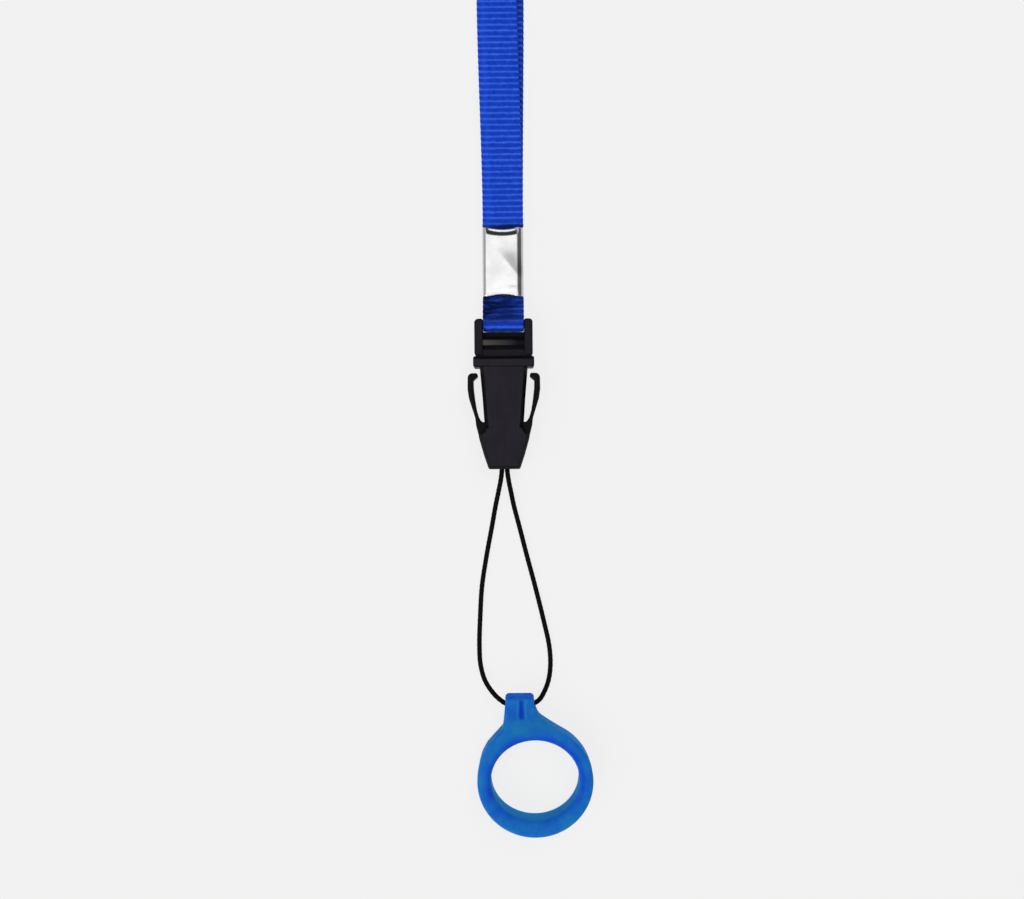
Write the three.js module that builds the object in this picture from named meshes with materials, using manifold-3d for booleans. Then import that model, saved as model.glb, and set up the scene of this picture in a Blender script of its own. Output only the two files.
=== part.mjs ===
// Neck lanyard, laid flat: a folded webbing neck loop, a metal crimp, a two-part quick-release
// buckle, a thin cord loop and a silicone holder ring. Millimetres, +Z up, +Y along the strap.
//
// The pieces are drawn with X = 0 on the buckle's centre line, Y = 0 at the face of the buckle
// that the cord leaves and Z = 0 on the table. The exported group then moves them so that the
// origin is at the middle of the footprint.

import * as THREE from "three";
import { mergeVertices } from "three/addons/utils/BufferGeometryUtils.js";
import Module from "manifold-3d";

const wasm = await Module();
wasm.setup();

// ---------------------------------------------------------------- driving dimensions

const GAP = 0.3; // between pieces that touch on the real lanyard

const WEBBING = { width: 10, thick: 0.9, pinchedHalfWidth: 4.15 };
const CRIMP = { width: 9.9, height: 3.8, wall: 0.5, corner: 1.3, from: 41.7, to: 58.4, z: 2.0 };
const SEAM = { width: 0.5, deep: 0.7 };
const HANK = { from: 118, to: 237, top: 7.4 };
const WAIST = { halfLength: 5.2, taper: 4, bottom: 1.2, top: 6.2 }; // where the tie draws the hank in
const TIE = { y: 177.5, width: 6, thick: 0.8, innerHalfWidth: 5.3, corner: 0.4 };

const MID = 3.3; // height of the buckle's middle plane
const FRAME = { halfWidth: 7.0, from: 27.4, to: 36.3, thick: 4.6, corner: 1.0, bevel: 0.4 };
const BAR = { y: 35.3, radius: 1.0 }; // the webbing loops round this bar
const SLOT = { halfWidth: 5.25, from: 31.7 };
const GROOVE = { from: 28.9, to: 29.6, deep: 0.8 };
const TONGUE = { halfWidth: 1.4, thick: 3.3, tip: 13.0, headHalfWidth: 2.5 };
const PRONG = { thick: 2.0, root: 13.1, barbX: 5.45, top: 24.0 };

const HOUSING = { thick: 6.2, bevel: 0.5, collarThick: 6.6, collarHalfWidth: 7.3 };
const COLLAR = { from: 24.45, to: 27.1, bevel: 0.35 };
const MOUTH = { halfWidth: 4.95, bottomHalfWidth: 3.95, bottom: 12.6, height: 4.0 };
const WINDOW = { inner: 4.4, keyway: 5.75, from: 21.2, height: 2.6 };
const KNOT = { y: 5.1, radius: 1.6, cavityHalfWidth: 2.2, cavityBottom: 2.4, cavityHeight: 3.8 };
const CORD_HOLE = { halfWidth: 1.6, height: 1.8 };
const ARM = { thick: 4.6, root: 12.05, tip: 23.4, outerX: 8.72, tipRadius: 0.8, bevel: 0.3 };
const LIP = { x: 6.35, thick: 2.0, long: 1.35 }; // inside each arm's tip, over the barb

const CORD = { radius: 0.6, sides: 8, steps: 78 };
const RING = { x: 6.8, y: -74.75, width: 7, bevel: 0.9 };
const RING_RADII = { outerX: 13.9, outerY: 13.2, innerX: 10.5, innerY: 9.9 };
const TAB = { middle: 3.2, halfWidth: 3.35, top: -53.9, corner: 1.3, thick: 5, bevel: 0.5 };
const BORE = { y: -56.9, z: 3.5, radius: 1.0 };

// ---------------------------------------------------------------- materials

const metal = (color, roughness) => new THREE.MeshStandardMaterial({ color, roughness, metalness: 1 });
const matt = (color, roughness) => new THREE.MeshStandardMaterial({ color, roughness, metalness: 0 });
const webbingBlue = () => matt(0x1f4acb, 0.75);
const blackPlastic = () => matt(0x26242a, 0.45);
const blackCord = () => matt(0x161616, 0.85);
const blueSilicone = () => matt(0x1b61b4, 0.4);

// ---------------------------------------------------------------- solids

function solid(geometry) {
  const bare = geometry.index ? geometry.toNonIndexed() : geometry.clone();
  bare.deleteAttribute("normal");
  bare.deleteAttribute("uv");
  const merged = mergeVertices(bare, 1e-4);
  return new wasm.Manifold(
    new wasm.Mesh({
      numProp: 3,
      vertProperties: new Float32Array(merged.attributes.position.array),
      triVerts: new Uint32Array(merged.index.array),
    }),
  );
}

function geometryOf(body) {
  const mesh = body.getMesh();
  const points = new Float32Array(mesh.numVert * 3);
  for (let i = 0; i < mesh.numVert; i++) {
    points.set(mesh.vertProperties.subarray(i * mesh.numProp, i * mesh.numProp + 3), i * 3);
  }
  const geometry = new THREE.BufferGeometry();
  geometry.setAttribute("position", new THREE.BufferAttribute(points, 3));
  geometry.setIndex(new THREE.BufferAttribute(mesh.triVerts, 1));
  const faceted = geometry.toNonIndexed();
  faceted.computeVertexNormals();
  return faceted;
}

function named(name, body, material) {
  const mesh = new THREE.Mesh(geometryOf(body), material);
  mesh.name = name;
  return mesh;
}

// A box between two corners.
function block(low, high) {
  const size = high.map((h, k) => h - low[k]);
  const box = new THREE.BoxGeometry(...size);
  box.translate(low[0] + size[0] / 2, low[1] + size[1] / 2, low[2] + size[2] / 2);
  return solid(box);
}

// An outline in plan, made thick about a middle height, with its edges bevelled inwards.
function slab(outline, thick, middle, bevel = 0, curveSegments = 12) {
  const body = new THREE.ExtrudeGeometry(outline, {
    depth: thick - 2 * bevel,
    curveSegments,
    bevelEnabled: bevel > 0,
    bevelThickness: bevel,
    bevelSize: bevel,
    bevelOffset: -bevel,
    bevelSegments: 2,
  });
  body.translate(0, 0, middle - thick / 2 + bevel);
  return solid(body);
}

// An outline seen from the side, in Y and Z, made wide along X about a middle.
const SIDE_VIEW = new THREE.Matrix4().makeBasis(
  new THREE.Vector3(0, 1, 0),
  new THREE.Vector3(0, 0, 1),
  new THREE.Vector3(1, 0, 0),
);
function across(outline, width, middle = 0, curveSegments = 12) {
  const body = new THREE.ExtrudeGeometry(outline, {
    depth: width,
    curveSegments,
    bevelEnabled: false,
  });
  body.translate(0, 0, -width / 2);
  body.applyMatrix4(SIDE_VIEW);
  body.translate(middle, 0, 0);
  return solid(body);
}

// A round rod along X.
function rod(radius, width, y, z, x = 0, sides = 32) {
  const body = new THREE.CylinderGeometry(radius, radius, width, sides);
  body.rotateZ(Math.PI / 2);
  body.translate(x, y, z);
  return solid(body);
}

// A rectangle with round corners, as a path or a shape.
function roundedRectangle(path, left, bottom, right, top, r) {
  path.moveTo(left + r, bottom);
  path.lineTo(right - r, bottom);
  path.absarc(right - r, bottom + r, r, -Math.PI / 2, 0, false);
  path.lineTo(right, top - r);
  path.absarc(right - r, top - r, r, 0, Math.PI / 2, false);
  path.lineTo(left + r, top);
  path.absarc(left + r, top - r, r, Math.PI / 2, Math.PI, false);
  path.lineTo(left, bottom + r);
  path.absarc(left + r, bottom + r, r, Math.PI, 1.5 * Math.PI, false);
  return path;
}

// The outline of a strip of webbing seen from the side, from the line down its middle.
function stripOutline(line, thick) {
  const sides = [[], []];
  line.forEach((point, i) => {
    const before = line[Math.max(i - 1, 0)];
    const after = line[Math.min(i + 1, line.length - 1)];
    const normal = new THREE.Vector2(before.y - after.y, after.x - before.x).normalize();
    sides[0].push(point.clone().addScaledVector(normal, -thick / 2));
    sides[1].push(point.clone().addScaledVector(normal, thick / 2));
  });
  return new THREE.Shape([...sides[0], ...sides[1].reverse()]);
}

const curveLine = (points, count) =>
  new THREE.SplineCurve(points.map(([y, z]) => new THREE.Vector2(y, z))).getPoints(count);

// The outline on the right of the centre line, repeated on its left.
function mirrored(right) {
  const left = right.map(([x, y]) => [-x, y]).reverse();
  return new THREE.Shape([...right, ...left].map(([x, y]) => new THREE.Vector2(x, y)));
}

// ---------------------------------------------------------------- neck loop

const crimpTop = CRIMP.z + (WEBBING.thick + GAP) / 2; // heights of the two plies in the crimp
const crimpBottom = CRIMP.z - (WEBBING.thick + GAP) / 2;
const tableBottom = WEBBING.thick / 2 + 0.1; // and of the two plies on the table
const tableTop = tableBottom + WEBBING.thick + GAP;
const insideCrimp = (CRIMP.from + CRIMP.to) / 2;

// The webbing is narrower where the crimp pinches it.
function pinched(strip) {
  const far = WEBBING.width;
  const low = [WEBBING.pinchedHalfWidth, CRIMP.from - GAP, -1];
  const high = [far, CRIMP.to + GAP, far];
  return strip
    .subtract(block(low, high))
    .subtract(block([-high[0], low[1], low[2]], [-low[0], high[1], high[2]]));
}

function ply(crimpHeight, tableHeight) {
  const line = curveLine(
    [
      [insideCrimp + GAP / 2, crimpHeight],
      [CRIMP.to, crimpHeight],
      [CRIMP.to + 6, (crimpHeight + tableHeight) / 2],
      [CRIMP.to + 12, tableHeight],
      [(CRIMP.to + HANK.from) / 2, tableHeight],
      [HANK.from - GAP, tableHeight],
    ],
    40,
  );
  return pinched(across(stripOutline(line, WEBBING.thick), WEBBING.width));
}

// The strap's end goes down in front of the bar, round it and back up behind.
function buckleLoop() {
  const radius = BAR.radius + GAP + WEBBING.thick / 2;
  const turn = [];
  for (let i = 0; i <= 16; i++) {
    const angle = Math.PI / 2 + (Math.PI * i) / 16;
    turn.push(new THREE.Vector2(BAR.y + radius * Math.cos(angle), MID + radius * Math.sin(angle)));
  }
  const leg = (crimpHeight, barHeight) =>
    curveLine(
      [
        [insideCrimp - GAP / 2, crimpHeight],
        [CRIMP.from, crimpHeight],
        [BAR.y + 3.2, (crimpHeight + barHeight) / 2],
        [BAR.y + 0.4, barHeight],
      ],
      20,
    );
  const line = [...leg(crimpTop, MID + radius), ...turn, ...leg(crimpBottom, MID - radius).reverse()];
  return pinched(across(stripOutline(line, WEBBING.thick), WEBBING.width));
}

// The rest of the neck loop, folded in runs and cinched at the middle by the tie.
function hank() {
  const end = HANK.top / 2;
  const outline = new THREE.Shape();
  const waistFrom = TIE.y - WAIST.halfLength;
  const waistTo = TIE.y + WAIST.halfLength;
  outline.moveTo(HANK.from + end, 0);
  outline.lineTo(waistFrom - WAIST.taper, 0);
  outline.lineTo(waistFrom, WAIST.bottom);
  outline.lineTo(waistTo, WAIST.bottom);
  outline.lineTo(waistTo + WAIST.taper, 0);
  outline.lineTo(HANK.to - end, 0);
  outline.absarc(HANK.to - end, end, end, -Math.PI / 2, Math.PI / 2, false);
  outline.lineTo(waistTo + WAIST.taper, HANK.top);
  outline.lineTo(waistTo, WAIST.top);
  outline.lineTo(waistFrom, WAIST.top);
  outline.lineTo(waistFrom - WAIST.taper, HANK.top);
  outline.lineTo(HANK.from + end, HANK.top);
  outline.absarc(HANK.from + end, end, end, Math.PI / 2, 1.5 * Math.PI, false);
  const room = TIE.innerHalfWidth * 2;
  const entry = block([-room, 0, -1], [room, HANK.from, tableTop + WEBBING.thick]);
  return across(outline, WEBBING.width).subtract(entry);
}

function tie() {
  const half = TIE.innerHalfWidth;
  const low = WAIST.bottom - GAP;
  const high = WAIST.top + GAP;
  const t = TIE.thick;
  const outline = roundedRectangle(new THREE.Shape(), -half - t, low - t, half + t, high + t, TIE.corner + t);
  outline.holes.push(roundedRectangle(new THREE.Path(), -half, low, half, high, TIE.corner));
  const band = new THREE.ExtrudeGeometry(outline, {
    depth: TIE.width,
    curveSegments: 5,
    bevelEnabled: false,
  });
  band.rotateX(Math.PI / 2);
  band.translate(0, TIE.y + TIE.width / 2, 0);
  return solid(band);
}

// A flat tube closed round the webbing, with its seam underneath.
function crimp() {
  const halfWidth = CRIMP.width / 2;
  const halfHeight = CRIMP.height / 2;
  const w = CRIMP.wall;
  const ring = (path, x, z, r) => roundedRectangle(path, -x, -z, x, z, r);
  const outline = ring(new THREE.Shape(), halfWidth, halfHeight, CRIMP.corner);
  outline.holes.push(ring(new THREE.Path(), halfWidth - w, halfHeight - w, CRIMP.corner - w));
  const sleeve = new THREE.ExtrudeGeometry(outline, {
    depth: CRIMP.to - CRIMP.from,
    curveSegments: 6,
    bevelEnabled: false,
  });
  sleeve.rotateX(Math.PI / 2);
  sleeve.translate(0, CRIMP.to, CRIMP.z);
  const underside = CRIMP.z - halfHeight;
  const seam = block(
    [-SEAM.width / 2, CRIMP.from - 1, underside - 1],
    [SEAM.width / 2, CRIMP.to + 1, underside + SEAM.deep],
  );
  return solid(sleeve).subtract(seam);
}

// ---------------------------------------------------------------- buckle

// The upper half: a frame with the webbing bar, and the tongue that goes into the housing.
function plugFrame() {
  const { halfWidth, from, to, thick, corner, bevel } = FRAME;
  const outline = roundedRectangle(new THREE.Shape(), -halfWidth, from, halfWidth, to, corner);
  let body = slab(outline, thick, MID, bevel, 4);
  body = body.subtract(block([-SLOT.halfWidth, SLOT.from, -1], [SLOT.halfWidth, to + 1, 9]));
  body = body.add(rod(BAR.radius, 2 * (SLOT.halfWidth + 0.5), BAR.y, MID, 0, 20));
  for (const side of [-1, 1]) {
    const face = MID + (side * thick) / 2;
    const floor = face - side * GROOVE.deep;
    const z = [Math.min(floor, face + side), Math.max(floor, face + side)];
    const groove = block([-SLOT.halfWidth, GROOVE.from, z[0]], [SLOT.halfWidth, GROOVE.to, z[1]]);
    body = body.subtract(groove);
  }
  const neckHalfWidth = MOUTH.halfWidth - 0.35;
  const tongue = mirrored([
    [0, TONGUE.tip],
    [TONGUE.headHalfWidth - 0.7, TONGUE.tip],
    [TONGUE.headHalfWidth, TONGUE.tip + 0.5],
    [TONGUE.headHalfWidth, TONGUE.tip + 1.2],
    [TONGUE.halfWidth, TONGUE.tip + 2.2],
    [TONGUE.halfWidth, PRONG.top + 0.6],
    [neckHalfWidth, PRONG.top + 0.9],
    [neckHalfWidth, from + 0.5],
    [0, from + 0.5],
  ]);
  return body.add(slab(tongue, TONGUE.thick, MID));
}

// A springy catch on the tongue. Its barb sits in the housing's side window.
function prong(side) {
  const outline = new THREE.Shape(
    [
      [2.85, PRONG.root],
      [3.65, PRONG.root + 0.25],
      [4.0, 17.5],
      [4.35, 21.5],
      [PRONG.barbX, 23.1],
      [PRONG.barbX, PRONG.top - 0.2],
      [PRONG.barbX - 0.2, PRONG.top],
      [3.75, PRONG.top],
      [3.45, 21.5],
      [3.15, 17.5],
      [2.85, 14.8],
    ].map(([x, y]) => new THREE.Vector2(x, y)),
  );
  const body = slab(outline, PRONG.thick, MID);
  return side > 0 ? body : body.mirror([1, 0, 0]);
}

// The lower half: a socket with a collar round its mouth, tapering to where the cord comes out.
function releaseHousing() {
  const outline = mirrored([
    [0, 0],
    [3.5, 0],
    [3.95, 0.35],
    [4.9, 3.4],
    [6.05, 7.3],
    [6.75, 10.0],
    [6.95, 11.0],
    [6.9, ARM.root - GAP],
    [5.75, ARM.root - GAP],
    [5.45, 11.35],
    [5.1, 11.2],
    [4.85, 11.45],
    [4.78, 12.2],
    [4.85, 13.4],
    [5.1, 16.8],
    [5.45, 20.3],
    [5.75, 23.6],
    [5.75, COLLAR.from + 0.6],
    [0, COLLAR.from + 0.6],
  ]);
  const collar = roundedRectangle(
    new THREE.Shape(),
    -HOUSING.collarHalfWidth,
    COLLAR.from,
    HOUSING.collarHalfWidth,
    COLLAR.to,
    0.5,
  );
  let body = slab(outline, HOUSING.thick, MID, HOUSING.bevel);
  body = body.add(slab(collar, HOUSING.collarThick, MID, COLLAR.bevel, 4));

  const socket = mirrored([
    [0, MOUTH.bottom],
    [MOUTH.bottomHalfWidth, MOUTH.bottom],
    [MOUTH.halfWidth, COLLAR.from],
    [MOUTH.halfWidth, COLLAR.to + 1],
    [0, COLLAR.to + 1],
  ]);
  body = body.subtract(slab(socket, MOUTH.height, MID));
  const levels = (height) => [MID - height / 2, MID + height / 2];
  const [knotLow, knotHigh] = levels(KNOT.cavityHeight);
  const cavity = block(
    [-KNOT.cavityHalfWidth, KNOT.cavityBottom, knotLow],
    [KNOT.cavityHalfWidth, MOUTH.bottom + 0.5, knotHigh],
  );
  body = body.subtract(cavity);
  const [holeLow, holeHigh] = levels(CORD_HOLE.height);
  const cordHole = block(
    [-CORD_HOLE.halfWidth, -1, holeLow],
    [CORD_HOLE.halfWidth, KNOT.cavityBottom + 0.5, holeHigh],
  );
  body = body.subtract(cordHole);
  // The barbs show in a window in each side. A keyway through the collar lets them out with the plug.
  const [low, high] = levels(WINDOW.height);
  const beyond = HOUSING.collarHalfWidth;
  for (const side of [-1, 1]) {
    const channel = (outer, from, to) => {
      const x = [side * WINDOW.inner, side * outer].sort((a, b) => a - b);
      return block([x[0], from, low], [x[1], to, high]);
    };
    body = body.subtract(channel(beyond, WINDOW.from, COLLAR.from - 0.01));
    body = body.subtract(channel(WINDOW.keyway, COLLAR.from - 0.5, COLLAR.to + 1));
  }
  return body;
}

// A squeeze arm beside the socket, with a lip at its tip that pushes the barb in.
function releaseArm(side) {
  const outline = new THREE.Shape();
  outline.moveTo(5.75, ARM.root);
  outline.lineTo(6.9, ARM.root);
  outline.splineThru(
    [
      [7.05, 12.9],
      [7.75, 14.9],
      [8.35, 16.8],
      [8.68, 18.7],
      [ARM.outerX, 21.4],
    ].map(([x, y]) => new THREE.Vector2(x, y)),
  );
  outline.lineTo(ARM.outerX, ARM.tip - ARM.tipRadius);
  outline.quadraticCurveTo(ARM.outerX, ARM.tip, ARM.outerX - ARM.tipRadius, ARM.tip);
  outline.lineTo(6.95, ARM.tip);
  outline.splineThru(
    [
      [7.0, 18.7],
      [6.8, 16.4],
      [6.5, 14.9],
      [6.1, 13.3],
    ].map(([x, y]) => new THREE.Vector2(x, y)),
  );
  const lip = block(
    [LIP.x, ARM.tip - ARM.bevel - LIP.long, MID - LIP.thick / 2],
    [LIP.x + 1.25, ARM.tip - ARM.bevel, MID + LIP.thick / 2],
  );
  const body = slab(outline, ARM.thick, MID, ARM.bevel, 2).add(lip);
  return side > 0 ? body : body.mirror([1, 0, 0]);
}

// ---------------------------------------------------------------- cord loop and ring

// The cord leaves the housing, drops to the table, opens into a loop and rises to the ring's bore.
const CORD_ROUTE = [
  [-0.75, 3.0, MID],
  [-0.75, 0.0, MID],
  [-0.9, -2.4, 3.1],
  [-1.55, -5.6, 1.9],
  [-2.3, -9.1, 0.9],
  [-3.2, -14.0, 0.65],
  [-4.6, -21.3, 0.65],
  [-5.75, -28.6, 0.65],
  [-6.25, -36.0, 0.65],
  [-6.5, -43.0, 0.65],
  [-6.25, -47.8, 0.75],
  [-5.2, -51.4, 1.5],
  [-3.4, -54.6, 2.7],
  [-1.7, -56.5, 3.4],
  [-0.1, -56.9, BORE.z],
  [3.2, -56.9, BORE.z],
  [6.5, -56.9, BORE.z],
  [8.0, -56.3, 3.4],
  [9.4, -54.2, 2.6],
  [10.3, -51.4, 1.5],
  [10.8, -48.0, 0.75],
  [10.55, -43.4, 0.65],
  [9.3, -37.4, 0.65],
  [7.1, -28.3, 0.65],
  [5.2, -21.0, 0.65],
  [3.4, -13.8, 0.65],
  [2.2, -9.1, 0.9],
  [1.5, -5.6, 1.9],
  [0.9, -2.4, 3.1],
  [0.75, 0.0, MID],
  [0.75, 3.0, MID],
];

function cordLoop() {
  const points = CORD_ROUTE.map((point) => new THREE.Vector3(...point));
  const path = new THREE.CatmullRomCurve3(points, false, "centripetal");
  const section = new THREE.Shape();
  for (let i = 0; i < CORD.sides; i++) {
    const angle = (2 * Math.PI * i) / CORD.sides;
    const point = [CORD.radius * Math.cos(angle), CORD.radius * Math.sin(angle)];
    if (i === 0) section.moveTo(...point);
    else section.lineTo(...point);
  }
  section.closePath();
  return solid(
    new THREE.ExtrudeGeometry(section, {
      steps: CORD.steps,
      extrudePath: path,
      bevelEnabled: false,
    }),
  );
}

// The loop's two ends, knotted together inside the housing so that they can't pull out.
function cordKnot() {
  const ball = new THREE.SphereGeometry(KNOT.radius, 14, 10);
  ball.scale(1.15, 1, 0.95);
  ball.translate(0, KNOT.y, MID);
  return solid(ball);
}

// A soft ring, slightly oval as it lies, with an off-centre tab that holds the cord's bore.
function holderRing() {
  const { x, y, width, bevel } = RING;
  const { outerX, outerY, innerX, innerY } = RING_RADII;
  const outline = new THREE.Shape();
  outline.absellipse(x, y, outerX, outerY, 0, 2 * Math.PI, false, 0);
  const opening = new THREE.Path();
  opening.absellipse(x, y, innerX, innerY, 0, 2 * Math.PI, true, 0);
  outline.holes.push(opening);
  const band = slab(outline, width, width / 2, bevel, 30);

  const left = TAB.middle - TAB.halfWidth;
  const right = TAB.middle + TAB.halfWidth;
  const tab = new THREE.Shape();
  tab.moveTo(left - 0.1, -58.5);
  tab.lineTo(left - 0.7, -62.0);
  tab.quadraticCurveTo(-2.6, -63.4, -4.6, -65.9);
  tab.lineTo(-3.4, -68.2);
  tab.lineTo(17.0, -68.2);
  tab.lineTo(15.6, -64.0);
  tab.quadraticCurveTo(12.6, -62.0, 10.6, -61.1);
  tab.quadraticCurveTo(right + 0.8, -59.6, right, -56.4);
  tab.lineTo(right - 0.1, TAB.top - TAB.corner);
  tab.quadraticCurveTo(right - 0.2, TAB.top, right - 0.1 - TAB.corner, TAB.top);
  tab.lineTo(left + 0.1 + TAB.corner, TAB.top);
  tab.quadraticCurveTo(left + 0.2, TAB.top, left + 0.1, TAB.top - TAB.corner);
  const ear = slab(tab, TAB.thick, BORE.z, TAB.bevel, 4);
  const bore = rod(BORE.radius, 4 * TAB.halfWidth, BORE.y, BORE.z, TAB.middle, 16);
  const clearance = new THREE.Shape();
  clearance.absellipse(x, y, innerX, innerY, 0, 2 * Math.PI, false, 0);
  return band.add(ear).subtract(bore).subtract(slab(clearance, TAB.thick + 1, BORE.z, 0, 30));
}

// ---------------------------------------------------------------- assembly

const pieces = new THREE.Group();
pieces.add(
  named("neck_webbing_front", ply(crimpTop, tableTop), webbingBlue()),
  named("neck_webbing_rear", ply(crimpBottom, tableBottom), webbingBlue()),
  named("neck_webbing_hank", hank(), webbingBlue()),
  named("buckle_webbing_loop", buckleLoop(), webbingBlue()),
  named("hank_tie", tie(), matt(0x1a1a1c, 0.7)),
  named("crimp_clamp", crimp(), metal(0xd8d8da, 0.12)),
  named("plug_frame", plugFrame(), blackPlastic()),
  named("latch_prong_left", prong(-1), blackPlastic()),
  named("latch_prong_right", prong(1), blackPlastic()),
  named("release_housing", releaseHousing(), blackPlastic()),
  named("release_arm_left", releaseArm(-1), blackPlastic()),
  named("release_arm_right", releaseArm(1), blackPlastic()),
  named("cord_knot", cordKnot(), blackCord()),
  named("cord_loop", cordLoop(), blackCord()),
  named("holder_ring", holderRing(), blueSilicone()),
);

// The origin: the middle of the footprint, on the table. The cord lies within it.
const footprint = new THREE.Box3();
for (const piece of pieces.children) {
  if (!piece.name.startsWith("cord_")) footprint.expandByObject(piece);
}
const middle = footprint.getCenter(new THREE.Vector3());
pieces.position.set(-middle.x, -middle.y, -footprint.min.z);

const lanyard = new THREE.Group();
lanyard.add(pieces);

export default lanyard;
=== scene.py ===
import math

import bmesh
import bpy
import numpy as np
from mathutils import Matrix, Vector
from mathutils.geometry import tessellate_polygon


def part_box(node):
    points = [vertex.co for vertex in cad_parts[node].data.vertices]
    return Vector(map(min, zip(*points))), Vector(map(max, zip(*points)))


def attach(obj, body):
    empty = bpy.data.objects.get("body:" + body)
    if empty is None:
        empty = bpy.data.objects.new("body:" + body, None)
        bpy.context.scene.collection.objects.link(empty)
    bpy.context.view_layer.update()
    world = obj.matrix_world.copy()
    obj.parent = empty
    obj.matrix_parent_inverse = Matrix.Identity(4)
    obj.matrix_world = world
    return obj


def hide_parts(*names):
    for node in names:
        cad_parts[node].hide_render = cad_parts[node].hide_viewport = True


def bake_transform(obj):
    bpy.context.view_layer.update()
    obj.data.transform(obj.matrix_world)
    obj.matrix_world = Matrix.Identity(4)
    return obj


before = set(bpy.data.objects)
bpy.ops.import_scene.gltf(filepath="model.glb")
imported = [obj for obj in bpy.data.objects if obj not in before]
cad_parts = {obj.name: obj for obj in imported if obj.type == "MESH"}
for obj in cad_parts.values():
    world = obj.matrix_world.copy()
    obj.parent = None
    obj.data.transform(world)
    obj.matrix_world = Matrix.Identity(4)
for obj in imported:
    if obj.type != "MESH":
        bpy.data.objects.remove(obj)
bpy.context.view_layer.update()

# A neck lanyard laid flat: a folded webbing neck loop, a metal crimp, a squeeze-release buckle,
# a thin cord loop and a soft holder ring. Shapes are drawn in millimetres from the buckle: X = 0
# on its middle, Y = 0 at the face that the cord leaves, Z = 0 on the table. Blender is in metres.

MM = 0.001

# ---- places, from the frame

housing_low, housing_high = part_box("release_housing")
ORIGIN = np.array([(housing_low.x + housing_high.x) / 2, housing_low.y, 0.0])


def row(points):
    """Points drawn in millimetres from the buckle, in the row frame in metres."""
    return ORIGIN + np.asarray(points, float) * MM


def drawn(node):
    """A CAD node's box in millimetres from the buckle."""
    low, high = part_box(node)
    return (np.array(low) - ORIGIN) / MM, (np.array(high) - ORIGIN) / MM


HOUSING_LOW, HOUSING_HIGH = drawn("release_housing")
PLUG_LOW, PLUG_HIGH = drawn("plug_frame")
CRIMP_LOW, CRIMP_HIGH = drawn("crimp_clamp")
HANK_LOW, HANK_HIGH = drawn("neck_webbing_hank")
TIE_LOW, TIE_HIGH = drawn("hank_tie")
RING_LOW, RING_HIGH = drawn("holder_ring")
ARM_LOW, ARM_HIGH = drawn("release_arm_right")
PRONG_LOW, PRONG_HIGH = drawn("latch_prong_right")
KNOT_LOW, KNOT_HIGH = drawn("cord_knot")

MID = (HOUSING_LOW[2] + HOUSING_HIGH[2]) / 2  # height of the buckle's middle plane

# ---- camera, light and floor


def fill_ramp(ramp, stops):
    """Sets the stops of a colour ramp, each a position and a colour."""
    elements = ramp.color_ramp.elements
    while len(elements) < len(stops):
        elements.new(0.5)
    for element, (position, colour) in zip(elements, stops):
        element.position = position
        element.color = (*colour, 1)


def mixed(tree, share, a, b, kind="MIX"):
    """Mixes two colours in a node tree, each a colour or a socket."""
    node = tree.nodes.new("ShaderNodeMix")
    node.data_type = "RGBA"
    node.blend_type = kind
    for index, value in ((0, share), (6, a), (7, b)):
        if isinstance(value, bpy.types.NodeSocket):
            tree.links.new(value, node.inputs[index])
        else:
            node.inputs[index].default_value = (*value, 1) if isinstance(value, tuple) else value
    return node.outputs[2]


def look_down():
    """A camera above the buckle that looks straight down at the table."""
    data = bpy.data.cameras.new("camera")
    data.sensor_width = 36
    data.lens = 33.86
    camera = bpy.data.objects.new("camera", data)
    height = 236
    camera.location = row((1.83, 4.70, height))
    camera.rotation_euler = (0, 0, math.radians(-0.45))
    data.clip_start = 0.01
    data.clip_end = 10
    bpy.context.scene.collection.objects.link(camera)
    bpy.context.scene.camera = camera


def soft_lamp(name, place, size, watts):
    """A square area lamp that faces the buckle."""
    data = bpy.data.lights.new(name, "AREA")
    data.size = size
    data.energy = watts
    lamp = bpy.data.objects.new(name, data)
    lamp.location = place
    aim = Vector(row((0, 30, 0))) - Vector(place)
    lamp.rotation_euler = aim.to_track_quat("-Z", "Y").to_euler()
    bpy.context.scene.collection.objects.link(lamp)
    return lamp


def studio():
    """An even dome, brighter towards the lower left, with a pale floor."""
    world = bpy.data.worlds.new("studio")
    bpy.context.scene.world = world
    world.use_nodes = True
    nodes = world.node_tree.nodes
    links = world.node_tree.links
    where = nodes.new("ShaderNodeTexCoord")

    def glow(direction, stops):
        """A grey that follows how far a direction of the sky lies from the given one."""
        towards = nodes.new("ShaderNodeVectorMath")
        towards.operation = "DOT_PRODUCT"
        towards.inputs[1].default_value = Vector(direction).normalized()
        ramp = nodes.new("ShaderNodeValToRGB")
        fill_ramp(ramp, [(position, (grey, grey, grey)) for position, grey in stops])
        links.new(where.outputs["Generated"], towards.inputs[0])
        links.new(towards.outputs["Value"], ramp.inputs["Fac"])
        return ramp.outputs["Color"]

    side = glow((-0.55, -0.60, 0.58), [(0.0, 0.12), (0.45, 0.30), (0.85, 0.75)])
    overhead = glow((0.0, 0.16, 1.0), [(0.90, 0.0), (0.965, 0.72)])
    sky = mixed(world.node_tree, 1.0, side, overhead, "ADD")
    # What shows beyond the floor is as pale as the floor.
    ray = nodes.new("ShaderNodeLightPath").outputs["Is Camera Ray"]
    seen = mixed(world.node_tree, ray, sky, (0.88, 0.88, 0.88))
    links.new(seen, nodes["Background"].inputs["Color"])
    soft_lamp("key", (-0.5, -0.55, 0.75), 0.6, 3.0)
    soft_lamp("fill", (0.35, 0.5, 0.95), 0.8, 5.8).visible_glossy = False


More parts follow.
